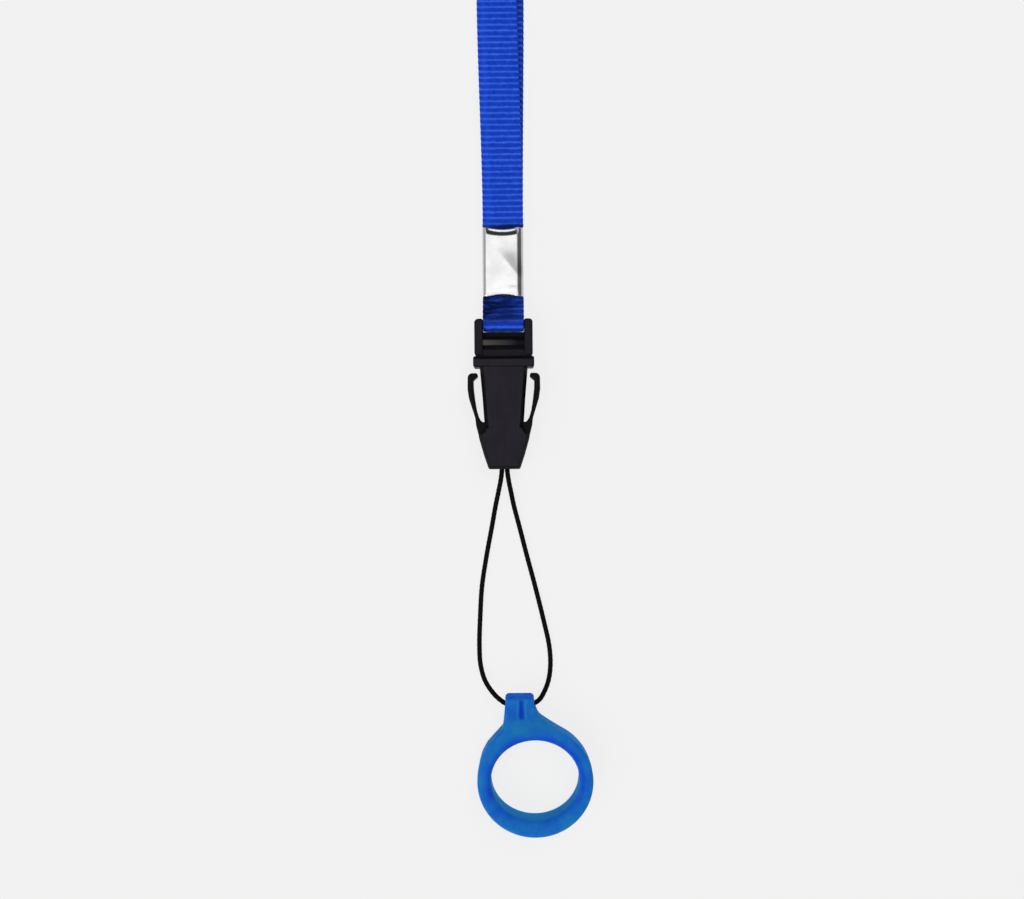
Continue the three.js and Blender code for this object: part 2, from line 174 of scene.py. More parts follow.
def lay_floor():
    """A wide pale floor that is bright by itself, so that shadows on it stay faint."""
    mesh = bpy.data.meshes.new("floor")
    far = 3.0
    mesh.from_pydata([(-far, -far, 0), (far, -far, 0), (far, far, 0), (-far, far, 0)], [], [(0, 1, 2, 3)])
    floor = bpy.data.objects.new("floor", mesh)
    bpy.context.scene.collection.objects.link(floor)
    pale = bpy.data.materials.new("floor")
    pale.use_nodes = True
    shader = pale.node_tree.nodes["Principled BSDF"]
    shader.inputs["Base Color"].default_value = (0.08, 0.08, 0.08, 1)
    shader.inputs["Emission Color"].default_value = (1, 1, 1, 1)
    shader.inputs["Emission Strength"].default_value = 0.805
    shader.inputs["Roughness"].default_value = 0.95
    shader.inputs["Specular IOR Level"].default_value = 0.1
    mesh.materials.append(pale)


look_down()
studio()
lay_floor()
bpy.context.scene.view_settings.view_transform = "Standard"

# ---- small geometry tools


def smoothstep(start, end, value):
    """A soft step from 0 at start to 1 at end."""
    t = np.clip((np.asarray(value, float) - start) / (end - start), 0, 1)
    return t * t * (3 - 2 * t)


def mix(a, b, share):
    return a + (b - a) * share


def unit(vectors):
    return vectors / np.maximum(np.linalg.norm(vectors, axis=-1, keepdims=True), 1e-12)


def rounded(corners, steps=6):
    """A closed outline with its corners rounded. Each corner is (x, y, radius)."""
    points = []
    count = len(corners)
    for i, (x, y, radius) in enumerate(corners):
        here = np.array((x, y), float)
        back = np.array(corners[i - 1][:2], float) - here
        ahead = np.array(corners[(i + 1) % count][:2], float) - here
        if radius == 0:
            points.append(here)
            continue
        a = unit(back)
        b = unit(ahead)
        half = math.acos(np.clip(a @ b, -1, 1)) / 2
        reach = min(radius / math.tan(half), 0.48 * np.linalg.norm(back), 0.48 * np.linalg.norm(ahead))
        centre = here + unit(a + b) * reach / math.cos(half)
        first = here + a * reach - centre
        last = here + b * reach - centre
        turn = math.atan2(first[0] * last[1] - first[1] * last[0], first @ last)
        for k in range(steps + 1):
            c = math.cos(turn * k / steps)
            s = math.sin(turn * k / steps)
            points.append(centre + (c * first[0] - s * first[1], s * first[0] + c * first[1]))
    return np.array(points)


def mirrored(right):
    """The corners of an anticlockwise outline from its right half, which runs upwards."""
    return [*right, *[(-x, y, radius) for x, y, radius in reversed(right) if x > 0]]


def sided(corners, side):
    """The corners as they are for side 1, or mirrored in X for side -1, anticlockwise both ways."""
    return corners if side > 0 else [(-x, y, radius) for x, y, radius in reversed(corners)]


def ellipse(x, y, across, along, count, clockwise=False):
    angle = np.linspace(0, 2 * math.pi, count, endpoint=False) * (-1 if clockwise else 1)
    return np.stack([x + across * np.cos(angle), y + along * np.sin(angle)], axis=1)


def spline(points, count):
    """Points along a centripetal Catmull-Rom curve through the given ones."""
    p = np.asarray(points, float)
    p = np.concatenate([2 * p[:1] - p[1:2], p, 2 * p[-1:] - p[-2:-1]])
    out = []
    each = max(2, count // (len(p) - 3))
    for i in range(1, len(p) - 2):
        knots = [0.0]
        for a, b in ((i - 1, i), (i, i + 1), (i + 1, i + 2)):
            knots.append(knots[-1] + max(np.linalg.norm(p[b] - p[a]), 1e-9) ** 0.5)
        t = np.linspace(knots[1], knots[2], each, endpoint=False)[:, None]

        def blend(u, v, start, end):
            return ((end - t) * u + (t - start) * v) / (end - start)

        a1 = blend(p[i - 1], p[i], knots[0], knots[1])
        a2 = blend(p[i], p[i + 1], knots[1], knots[2])
        a3 = blend(p[i + 1], p[i + 2], knots[2], knots[3])
        b1 = blend(a1, a2, knots[0], knots[2])
        b2 = blend(a2, a3, knots[1], knots[3])
        out.append(blend(b1, b2, knots[1], knots[2]))
    return np.concatenate([*out, p[-2:-1]])


def evenly(points, step):
    """The line again, with its points a step apart, and the distance along it to each."""
    lengths = np.linalg.norm(np.diff(points, axis=0), axis=1)
    along = np.concatenate([[0], np.cumsum(lengths)])
    at = np.linspace(0, along[-1], max(2, round(along[-1] / step) + 1))
    return np.stack([np.interp(at, along, points[:, k]) for k in range(points.shape[1])], axis=1), at


def inset(outline, amount):
    """An outline moved towards its left side, which is inwards on an anticlockwise one."""
    before = unit(outline - np.roll(outline, 1, 0))
    after = unit(np.roll(outline, -1, 0) - outline)
    left = np.stack([-before[:, 1], before[:, 0]], axis=1)
    normal = unit(left + np.stack([-after[:, 1], after[:, 0]], axis=1))
    share = np.maximum((normal * left).sum(1, keepdims=True), 0.4)
    return outline + normal * amount / share


def inset_corners(corners, amount):
    """The corners of an outline moved towards its left side, with the radii to match."""
    places = corners[:, :2]
    before = places - np.roll(places, 1, 0)
    after = np.roll(places, -1, 0) - places
    turn = before[:, 0] * after[:, 1] - before[:, 1] * after[:, 0]
    radii = np.maximum(corners[:, 2] - np.sign(turn) * amount, 0.02) * (corners[:, 2] > 0)
    return np.column_stack([inset(places, amount), radii])


def made(name, points, faces, smooth_below=38):
    """A mesh object in the row frame from points in millimetres, faces out, with soft edges smooth."""
    mesh = bpy.data.meshes.new(name)
    mesh.from_pydata(row(points).tolist(), [], faces)
    piece = bpy.data.objects.new(name, mesh)
    bpy.context.scene.collection.objects.link(piece)
    tidy(piece, smooth_below)
    return piece


def tidy(piece, smooth_below):
    body = bmesh.new()
    body.from_mesh(piece.data)
    bmesh.ops.remove_doubles(body, verts=body.verts, dist=1e-7)
    bmesh.ops.recalc_face_normals(body, faces=body.faces)
    body.to_mesh(piece.data)
    body.free()
    piece.data.shade_smooth()
    piece.data.set_sharp_from_angle(angle=math.radians(smooth_below))


def band_faces(first, second, count):
    """Quads between two closed rings of points, given by their first indices."""
    return [
        (first + i, first + (i + 1) % count, second + (i + 1) % count, second + i) for i in range(count)
    ]


def skin(rings, count):
    """The faces of a tube of rings of count points each, with both its ends closed."""
    faces = []
    for i in range(rings - 1):
        faces += band_faces(i * count, (i + 1) * count, count)
    last = (rings - 1) * count
    return faces + [tuple(range(count)), tuple(range(last, last + count))]


def moulded(name, outline, bottom, top, edge=(0.3, 0.3), holes=(), steps=4, fullness=2.0):
    """A solid of an outline between two heights. Its rims are rounded by edge: in plan, in height.

    The outline holds points, or corners with radii as in rounded. A fullness of 2 makes the rims
    round, and one nearer 1 makes them slopes with soft ends.
    """
    angles = np.linspace(0, math.pi / 2, steps + 1)
    rise = edge[1] * (1 - np.maximum(np.cos(angles), 0) ** (2 / fullness))
    pull = edge[0] * (1 - np.sin(angles) ** (2 / fullness))
    levels = [(bottom + r, p) for r, p in zip(rise, pull)]
    levels += [(top - r, p) for r, p in zip(rise[::-1], pull[::-1])]
    points = []
    faces = []
    starts = []
    counts = []
    for ring in (outline, *holes):
        ring = np.asarray(ring, float)
        if ring.shape[1] == 2:
            ring = np.column_stack([ring, np.zeros(len(ring))])
        starts.append([])
        for height, amount in levels:
            starts[-1].append(len(points))
            moved = rounded(inset_corners(ring, amount))
            points += [(x, y, height) for x, y in moved]
        counts.append(len(moved))
        for first, second in zip(starts[-1][:-1], starts[-1][1:]):
            faces += band_faces(first, second, counts[-1])
    for level in (0, -1):
        order = [begin[level] + i for begin, count in zip(starts, counts) for i in range(count)]
        flat = [
            [Vector(points[begin[level] + i][:2]) for i in range(count)]
            for begin, count in zip(starts, counts)
        ]
        faces += [tuple(order[i] for i in triangle) for triangle in tessellate_polygon(flat)]
    return made(name, points, faces)


def along_x(name, outline, low, high):
    """A solid of a side outline, in Y and Z, between two X."""
    points = [(x, y, z) for x in (low, high) for y, z in outline]
    return made(name, points, skin(2, len(outline)))


def along_y(name, outline, low, high):
    """A solid of an end outline, in X and Z, between two Y."""
    points = [(x, y, z) for y in (low, high) for x, z in outline]
    return made(name, points, skin(2, len(outline)))


def box(name, low, high):
    """A block between two corners, as a tool for cuts and joins."""
    (x0, y0, z0), (x1, y1, z1) = low, high
    return along_x(name, [(y0, z0), (y1, z0), (y1, z1), (y0, z1)], x0, x1)


def boolean(piece, others, operation, smooth_below=38):
    """Joins or cuts a piece with others, which are then gone."""
    for other in others:
        step = piece.modifiers.new(operation, "BOOLEAN")
        step.object = other
        step.operation = operation
        step.solver = "MANIFOLD"
    applied(piece)
    for other in others:
        bpy.data.objects.remove(other)
    tidy(piece, smooth_below)
    return piece


def applied(piece):
    """Applies a piece's modifiers to its mesh."""
    evaluated = piece.evaluated_get(bpy.context.evaluated_depsgraph_get())
    mesh = bpy.data.meshes.new_from_object(evaluated)
    piece.modifiers.clear()
    old = piece.data
    piece.data = mesh
    bpy.data.meshes.remove(old)


def local_points(piece):
    """A piece's points in millimetres from the buckle."""
    places = np.zeros(len(piece.data.vertices) * 3)
    piece.data.vertices.foreach_get("co", places)
    return (places.reshape(-1, 3) - ORIGIN) / MM


def move_points(piece, points):
    """Puts a piece's points at places in millimetres from the buckle."""
    piece.data.vertices.foreach_set("co", row(points).ravel())
    piece.data.update()


def even_shading(piece):
    """Keeps flat faces flat beside rounded edges."""
    body = bmesh.new()
    body.from_mesh(piece.data)
    body.normal_update()
    for edge in body.edges:
        faces = edge.link_faces
        if len(faces) == 2 and max(abs(face.normal.z) for face in faces) > 0.99995:
            if faces[0].normal.dot(faces[1].normal) < 0.9998:
                edge.smooth = False
    body.to_mesh(piece.data)
    body.free()
    step = piece.modifiers.new("normals", "WEIGHTED_NORMAL")
    step.keep_sharp = True
    step.weight = 80


def attribute(piece, name, values, domain="POINT"):
    """Gives a piece a number at each point or face, which its material reads."""
    layer = piece.data.attributes.new(name, "FLOAT", domain)
    layer.data.foreach_set("value", np.asarray(values, np.float32))


def tube(points, radii, sides, name):
    """A closed tube along points in millimetres. radii holds one row per point and one value per side."""
    tangents = unit(np.gradient(points, axis=0))
    up = np.zeros_like(points)
    side = np.cross(tangents[0], (0, 0, 1.0))
    up[0] = unit(np.cross(side, tangents[0]))
    for i in range(1, len(points)):
        carried = up[i - 1] - tangents[i] * (up[i - 1] @ tangents[i])
        up[i] = unit(carried)
    across = np.cross(tangents, up)
    angle = np.linspace(0, 2 * math.pi, sides, endpoint=False)
    ring = across[:, None] * np.cos(angle)[None, :, None] + up[:, None] * np.sin(angle)[None, :, None]
    surface = points[:, None] + ring * radii[:, :, None]
    return made(name, surface.reshape(-1, 3), skin(len(points), sides), smooth_below=70)


# ---- materials


class Look:
    """A material with a Principled shader, and short ways to add nodes to it."""

    def __init__(self, name, **sockets):
        self.material = bpy.data.materials.new(name)
        self.material.use_nodes = True
        self.nodes = self.material.node_tree.nodes
        self.links = self.material.node_tree.links
        self.shader = self.nodes["Principled BSDF"]
        for socket, value in sockets.items():
            self.shader.inputs[socket.replace("_", " ")].default_value = value

    def math(self, operation, *values):
        node = self.nodes.new("ShaderNodeMath")
        node.operation = operation
        for socket, value in zip(node.inputs, values):
            if isinstance(value, bpy.types.NodeSocket):
                self.links.new(value, socket)
            else:
                socket.default_value = value
        return node.outputs[0]

    def total(self, *terms):
        """The sum of some values, each times its weight."""
        parts = [self.math("MULTIPLY", value, weight) for value, weight in terms]
        result = parts[0]
        for part in parts[1:]:
            result = self.math("ADD", result, part)
        return result

    def attribute(self, name):
        node = self.nodes.new("ShaderNodeAttribute")
        node.attribute_name = name
        return node.outputs["Fac"]

    def place(self):
        return self.nodes.new("ShaderNodeTexCoord").outputs["Object"]

    def stretched(self, scale):
        """Object coordinates, with each axis scaled on its own."""
        node = self.nodes.new("ShaderNodeMapping")
        self.links.new(self.place(), node.inputs["Vector"])
        node.inputs["Scale"].default_value = scale
        return node.outputs[0]

    def noise(self, size, detail=2.0, vector=None, rough=0.5):
        """Noise with features of about that size in metres."""
        node = self.nodes.new("ShaderNodeTexNoise")
        node.inputs["Scale"].default_value = 1 / size
        node.inputs["Detail"].default_value = detail
        node.inputs["Roughness"].default_value = rough
        self.links.new(self.place() if vector is None else vector, node.inputs["Vector"])
        return node.outputs["Fac"]

    def spread(self, value, low, high, to_low, to_high):
        """The value's range low to high, mapped to another range and kept in it."""
        node = self.nodes.new("ShaderNodeMapRange")
        node.clamp = True
        self.links.new(value, node.inputs["Value"])
        for socket, number in zip(("From Min", "From Max", "To Min", "To Max"), (low, high, to_low, to_high)):
            node.inputs[socket].default_value = number
        return node.outputs[0]

    def colours(self, value, stops):
        node = self.nodes.new("ShaderNodeValToRGB")
        fill_ramp(node, stops)
        self.links.new(value, node.inputs["Fac"])
        return node.outputs["Color"]

    def blend(self, share, a, b):
        return mixed(self.material.node_tree, share, a, b)

    def wave(self, value, turns):
        """A smooth wave of the value between 0 and 1, with that many turns per unit."""
        sine = self.math("SINE", self.math("MULTIPLY", value, 2 * math.pi * turns))
        return self.math("ADD", self.math("MULTIPLY", sine, 0.5), 0.5)

    def bump(self, height, distance, strength=1.0):
        node = self.nodes.new("ShaderNodeBump")
        node.inputs["Strength"].default_value = strength
        node.inputs["Distance"].default_value = distance
        self.links.new(height, node.inputs["Height"])
        self.links.new(node.outputs[0], self.shader.inputs["Normal"])

    def drive(self, socket, value):
        self.links.new(value, self.shader.inputs[socket])


def webbing_look():
    """Blue ribbed nylon: painted highlights on the crests, painted shade in the deep valleys, a painted
    highlight band a little in from the left edge, and fine threads.
    """
    look = Look("blue_webbing", Specular_IOR_Level=0.10, Sheen_Weight=0.04, Sheen_Roughness=0.4)
    look.shader.inputs["Sheen Tint"].default_value = (0.2, 0.45, 1.0, 1)
    rib = look.attribute("rib")
    across = look.attribute("across")
    painted_shade = look.attribute("painted_shade")
    # Painted highlight on each rib's crest and painted shade in its valleys.
    crest = look.math("POWER", look.wave(rib, 1), 2.0)
    threads = look.wave(across, 26)
    uneven = look.noise(0.0009, 3)
    level = look.total((crest, 0.50), (uneven, 0.70), (threads, 0.09))
    blue = look.colours(
        level,
        [
            (0.20, (0.003, 0.026, 0.37)), (0.52, (0.006, 0.050, 0.52)), (0.66, (0.012, 0.078, 0.63)),
            (0.90, (0.040, 0.128, 0.72)),
        ],
    )
    # A painted highlight band a little in from the webbing's left edge, brightest on the crests.
    left_band = look.math("ABSOLUTE", look.math("ADD", across, 0.70))
    in_band = look.spread(left_band, 0.05, 0.16, 0.38, 0.0)
    bright = look.math("MULTIPLY", in_band, look.math("ADD", crest, 0.35))
    blue = look.blend(bright, blue, (0.022, 0.118, 0.95))
    # Painted shade, streaked across the webbing, as strong as the shade attribute read above.
    streaks = look.spread(look.noise(0.0016, 3, look.stretched((0.4, 1.5, 1.0))), 0.42, 0.66, 1.0, 0.45)
    blue = look.blend(look.math("MULTIPLY", painted_shade, streaks), blue, (0.0008, 0.0045, 0.045))
    look.drive("Base Color", blue)
    look.drive("Roughness", look.spread(uneven, 0.3, 0.7, 0.50, 0.72))
    fine = look.noise(0.00016, 2)
    look.bump(look.math("ADD", fine, look.math("MULTIPLY", threads, 0.8)), 0.00004, 0.6)
    return look.material


def plastic_look():
    """Black moulded acetal: fine spark texture, faint flow marks, a little uneven gloss, and painted shade
    and highlights that each piece sets per point or face.
    """
    look = Look("black_plastic", Specular_IOR_Level=0.09)
    painted_light = look.attribute("painted_light")
    cloud = look.noise(0.004, 3)
    grain = look.noise(0.00022, 2)
    flow = look.noise(0.0012, 2, look.stretched((1.0, 0.18, 1.0)))
    tone = look.total((cloud, 0.6), (flow, 0.4))
    lit = look.colours(tone, [(0.3, (0.0115, 0.0095, 0.0160)), (0.7, (0.0185, 0.0158, 0.0240))])
    # Painted highlight where the attribute is above 1, painted shade where it is below 1.
    highlighted = look.blend(look.math("MULTIPLY_ADD", painted_light, 0.25, -0.25), lit, (0.060, 0.057, 0.048))
    look.drive("Base Color", look.blend(painted_light, (0.0026, 0.0024, 0.0027), highlighted))
    look.drive("Roughness", look.spread(tone, 0.3, 0.7, 0.40, 0.56))
    look.bump(grain, 0.000012, 0.5)
    return look.material


def nickel_look():
    """Bright plated sheet metal with fine scratches, a few dull patches and painted dark reflections."""
    look = Look("nickel_plate", Metallic=1.0)
    scratches = look.noise(0.0005, 3, look.stretched((6.0, 0.35, 1.0)), 0.7)
    patches = look.noise(0.0035, 2)
    bright = look.colours(patches, [(0.35, (0.80, 0.79, 0.80)), (0.65, (0.93, 0.92, 0.92))])
    # Painted reflection: darker grey where the crimp's attribute asks.
    look.drive("Base Color", look.blend(look.attribute("painted_reflection"), bright, (0.20, 0.185, 0.185)))
    look.drive("Roughness", look.total((scratches, 0.14), (patches, 0.12)))
    look.bump(scratches, 0.000006, 0.35)
    return look.material


def cord_look():
    """Black braided polyester: the strands are in the mesh, the fibres and their tone are here."""
    look = Look("black_cord", Specular_IOR_Level=0.05)
    fibres = look.noise(0.00012, 3)
    tone = look.total((fibres, 0.5), (look.attribute("strand"), 0.5))
    black = look.colours(tone, [(0.25, (0.0010, 0.0010, 0.0010)), (0.8, (0.006, 0.006, 0.0065))])
    look.drive("Base Color", black)
    look.drive("Roughness", look.spread(fibres, 0.3, 0.7, 0.6, 0.85))
    look.bump(fibres, 0.00002, 0.6)
    return look.material


def elastic_look():
    """Black woven elastic with fine cords along its length."""
    look = Look("black_elastic", Specular_IOR_Level=0.3)
    weave = look.noise(0.0003, 3)
    tone = look.total((weave, 0.6), (look.attribute("cord"), 0.4))
    black = look.colours(tone, [(0.25, (0.003, 0.003, 0.003)), (0.8, (0.022, 0.022, 0.024))])
    look.drive("Base Color", black)
    look.drive("Roughness", look.spread(weave, 0.3, 0.7, 0.65, 0.9))
    look.bump(weave, 0.00003, 0.5)
    return look.material


def silicone_look():
    """Blue silicone that lets a little light in, its tone wandering from deep blue to teal, with painted
    shade and highlights and a painted lighter inner wall.
    """
    look = Look("blue_silicone", Specular_IOR_Level=0.004, Subsurface_Weight=0.8, Subsurface_Scale=0.003)
    look.shader.inputs["Subsurface Radius"].default_value = (0.2, 0.6, 1.0)
    cloud = look.noise(0.0045, 3, rough=0.6)
    streak = look.noise(0.0016, 2)
    # Painted shade where the edge attribute is above 0, painted highlight where it is below 0.
    tone = look.total((cloud, 0.8), (streak, 0.3), (look.attribute("edge"), -0.35))
    blue = look.colours(
        tone,
        [
            (0.15, (0.008, 0.076, 0.55)), (0.46, (0.012, 0.138, 0.52)), (0.72, (0.016, 0.200, 0.48)),
        ],
    )
    # Painted light: the inner wall round the opening is painted lighter and more teal than its shade would
    # leave it.
    blue = look.blend(look.math("MULTIPLY", look.attribute("painted_light_wall"), 0.85), blue, (0.009, 0.19, 0.50))
    look.drive("Base Color", blue)
    look.drive("Roughness", look.spread(cloud, 0.3, 0.7, 0.38, 0.52))
    look.bump(look.noise(0.0003, 2), 0.000015, 0.4)
    return look.material


LOOKS = {
    "blue_webbing": webbing_look(),
    "black_plastic": plastic_look(),
    "nickel_plate": nickel_look(),
    "black_cord": cord_look(),
    "black_elastic": elastic_look(),
    "blue_silicone": silicone_look(),
}


def dress(piece, slot, *nodes):
    """Gives a piece its material and hides the CAD nodes that it stands for."""
    piece.data.materials.clear()
    piece.data.materials.append(LOOKS[slot])
    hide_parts(*nodes)


def plastic(piece, node, painted_light, domain="POINT"):
    """Finishes a black plastic piece, with painted light and shade as told at each point or face."""
    attribute(piece, "painted_light", painted_light, domain)
    even_shading(piece)
    dress(piece, "black_plastic", node)


# ---- cord loop and its knot

CORD_RADIUS = 0.6
BRAID = {"pitch": 2.4, "strands": 4, "relief": 0.07, "sides": 16, "step": 0.1}
# The route of the cord's solid: out of the housing, down to the table, round through the ring's
# bore and back.
CORD_ROUTE = [
    (-0.63, 3.0, 3.3), (-0.63, 0.0, 3.3), (-0.9, -2.4, 3.1), (-1.55, -5.6, 1.9), (-2.3, -9.1, 0.9),
    (-3.2, -14.0, 0.65), (-4.6, -21.3, 0.65), (-5.75, -28.6, 0.65), (-6.25, -36.0, 0.65),
    (-6.5, -43.0, 0.65), (-6.25, -47.8, 0.75), (-5.2, -51.4, 1.5), (-3.3, -54.1, 2.7),
    (-1.4, -55.8, 3.4), (0.3, -56.75, 3.5), (3.2, -56.9, 3.5), (6.1, -56.75, 3.5), (7.9, -55.8, 3.4),
    (9.2, -54.0, 2.6), (10.3, -51.4, 1.5), (10.8, -48.0, 0.75), (10.55, -43.4, 0.65),
    (9.3, -37.4, 0.65), (7.1, -28.3, 0.65), (5.2, -21.0, 0.65), (3.4, -13.8, 0.65), (2.2, -9.1, 0.9),
    (1.5, -5.6, 1.9), (0.9, -2.4, 3.1), (0.63, 0.0, 3.3), (0.63, 3.0, 3.3),
]


def braided(name, line, radius):
    """A cord with strands that wind both ways over and under each other."""
    points, along = evenly(line, BRAID["step"])
    angle = np.linspace(0, 2 * math.pi, BRAID["sides"], endpoint=False)
    turn = 2 * math.pi * along[:, None] / BRAID["pitch"]
    half = BRAID["strands"] / 2
    one_way = np.cos(half * angle[None, :] + turn)
    other_way = np.cos(half * angle[None, :] - turn)
    strand = one_way * other_way
    piece = tube(points, radius - BRAID["relief"] * (0.5 - 0.5 * strand), BRAID["sides"], name)
    attribute(piece, "strand", (0.5 + 0.5 * strand).ravel())
    return piece, points


def make_cord():
    """The braided loop, and the trefoil knot that joins its ends in the housing."""
    line = spline(CORD_ROUTE, 900)
    loop, points = braided("braided_cord", line, CORD_RADIUS)
    dress(loop, "black_cord", "cord_loop")
    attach(loop, "housing")

    t = np.linspace(0, 2 * math.pi, 160)
    trefoil = [np.sin(t) + 2 * np.sin(2 * t), np.cos(t) - 2 * np.cos(2 * t), -np.sin(3 * t)]
    trefoil = np.stack(trefoil, axis=1)
    middle = (KNOT_LOW + KNOT_HIGH) / 2
    knot, _ = braided("end_knot", middle + trefoil * (0.42, 0.36, 0.75), 0.5)
    dress(knot, "black_cord", "cord_knot")
    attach(knot, "housing")


make_cord()

# ---- webbing

WEB = {"half_width": 5.0, "half_thick": 0.36, "relief": 0.09, "pitch": 1.43, "steps": 6}
LEVEL = {"first": 0.55, "pitch": 1.2}  # heights of the hank's plies
WAIST = {"first": 1.62, "pitch": 0.82, "flat": 3.4, "reach": 9.4}  # and where the tie draws them in
CRIMP_PLIES = (1.4, 2.6)
BAR = {"y": PLUG_HIGH[1] - 1.0, "radius": 1.75}  # the webbing's turn round the plug's bar
# The hank's folds, at its far end and at its end beside the crimp.
FAR = HANK_HIGH[1] - 2.7
NEAR = HANK_LOW[1] + 2.6


def drawn_in(y):
    """How tightly the tie holds the hank at a place along it, from 0 to 1."""
    return smoothstep(WAIST["reach"], WAIST["flat"], abs(y - (TIE_LOW[1] + TIE_HIGH[1]) / 2))


def ply_height(level, y):
    """A ply's height in the hank, at rest on the ply below it and drawn in at the tie."""
    flat = LEVEL["first"] + level * LEVEL["pitch"]
    return mix(flat, WAIST["first"] + level * WAIST["pitch"], drawn_in(y))


def stretch(start, end, height):
    """Points along Y from start to end, with the height that a function gives."""
    y = np.linspace(start, end, max(2, round(abs(end - start) / 0.1)))
    return np.stack([y, height(y)], axis=1)


def fold(y, low, high, towards):
    """A half turn between two heights, upwards, bulging along Y."""
    angle = np.linspace(-math.pi / 2, math.pi / 2, 24)
    radius = (high - low) / 2
    return np.stack([y + towards * radius * np.cos(angle), (low + high) / 2 + radius * np.sin(angle)], axis=1)


def strap_line():
    """The webbing's middle line from one end inside the crimp to the other, in Y and Z."""
    level = [LEVEL["first"] + k * LEVEL["pitch"] for k in range(6)]
    bar_low = MID - BAR["radius"]
    bar_high = MID + BAR["radius"]
    crimp_from, crimp_to = CRIMP_LOW[1], CRIMP_HIGH[1]
    middle = (crimp_from + crimp_to) / 2
    rest = crimp_to + 12

    def leg(bar_height, crimp_height):
        return lambda y: mix(bar_height, crimp_height, smoothstep(BAR["y"] + 0.4, crimp_from, y))

    def settle(crimp_height, height):
        return lambda y: mix(crimp_height, height, smoothstep(crimp_to, rest, y))

    low, high = CRIMP_PLIES
    return [
        stretch(middle - 0.2, BAR["y"], leg(bar_low, low)),
        fold(BAR["y"], bar_low, bar_high, -1),
        stretch(BAR["y"], crimp_to, leg(bar_high, high)),
        stretch(crimp_to, HANK_LOW[1], settle(high, level[1])),
        stretch(HANK_LOW[1], FAR, lambda y: ply_height(1, y)),
        fold(FAR, level[1], level[2], 1),
        stretch(FAR, NEAR, lambda y: ply_height(2, y)),
        fold(NEAR, level[2], level[5], -1),
        stretch(NEAR, FAR + 1.2, lambda y: ply_height(5, y)),
        fold(FAR + 1.2, level[4], level[5], 1)[::-1],
        stretch(FAR + 1.2, NEAR, lambda y: ply_height(4, y)),
        fold(NEAR, level[3], level[4], -1)[::-1],
        stretch(NEAR, FAR, lambda y: ply_height(3, y)),
        fold(FAR, level[0], level[3], 1)[::-1],
        stretch(FAR, HANK_LOW[1], lambda y: ply_height(0, y)),
        stretch(HANK_LOW[1], crimp_to, settle(low, level[0])),
        stretch(crimp_to, middle + 0.2, lambda y: 0 * y + low),
    ]


# How far each of those stretches lies off the strap's line, at its start and its end.
DRIFT = [
    (0.0, 0.0), (0.0, 0.0), (0.0, 0.0), (0.05, -1.05), (-1.05, 0.1), (0.1, 0.1), (0.1, 0.35),
    (0.35, 0.35), (0.35, -0.2), (-0.2, -0.2), (-0.2, 0.15), (0.15, 0.15), (0.15, -0.1), (-0.1, -0.1),
    (-0.1, 0.62), (0.62, 0.05), (0.05, 0.0),
]


def strap_section(rib, width_share, flatness):
    """Sideways places and heights round each cross-section, and each point's share of the width."""
    out = np.array([-1.0, -0.97, -0.90, -0.78, -0.52, -0.18, 0.18, 0.52, 0.78, 0.90, 0.97, 1.0])
    swell = np.cos(2 * math.pi * rib)[:, None]
    inner = 1 - smoothstep(0.80, 0.93, abs(out))[None, :]
    height = WEB["half_thick"] + WEB["relief"] * swell * (0.35 + 0.65 * inner)
    edge = np.sqrt(np.maximum(1 - (np.maximum(abs(out) - 0.94, 0) / 0.06) ** 2, 0))[None, :]
    height = height * edge * flatness[:, None]
    side = WEB["half_width"] * out[None, :] * width_share[:, None] * (1 + 0.008 * swell)
    across = np.concatenate([side, side[:, -2:0:-1]], axis=1)
    heights = np.concatenate([height, -height[:, -2:0:-1]], axis=1)
    share = np.concatenate([out, out[-2:0:-1]])
    return across, heights, share


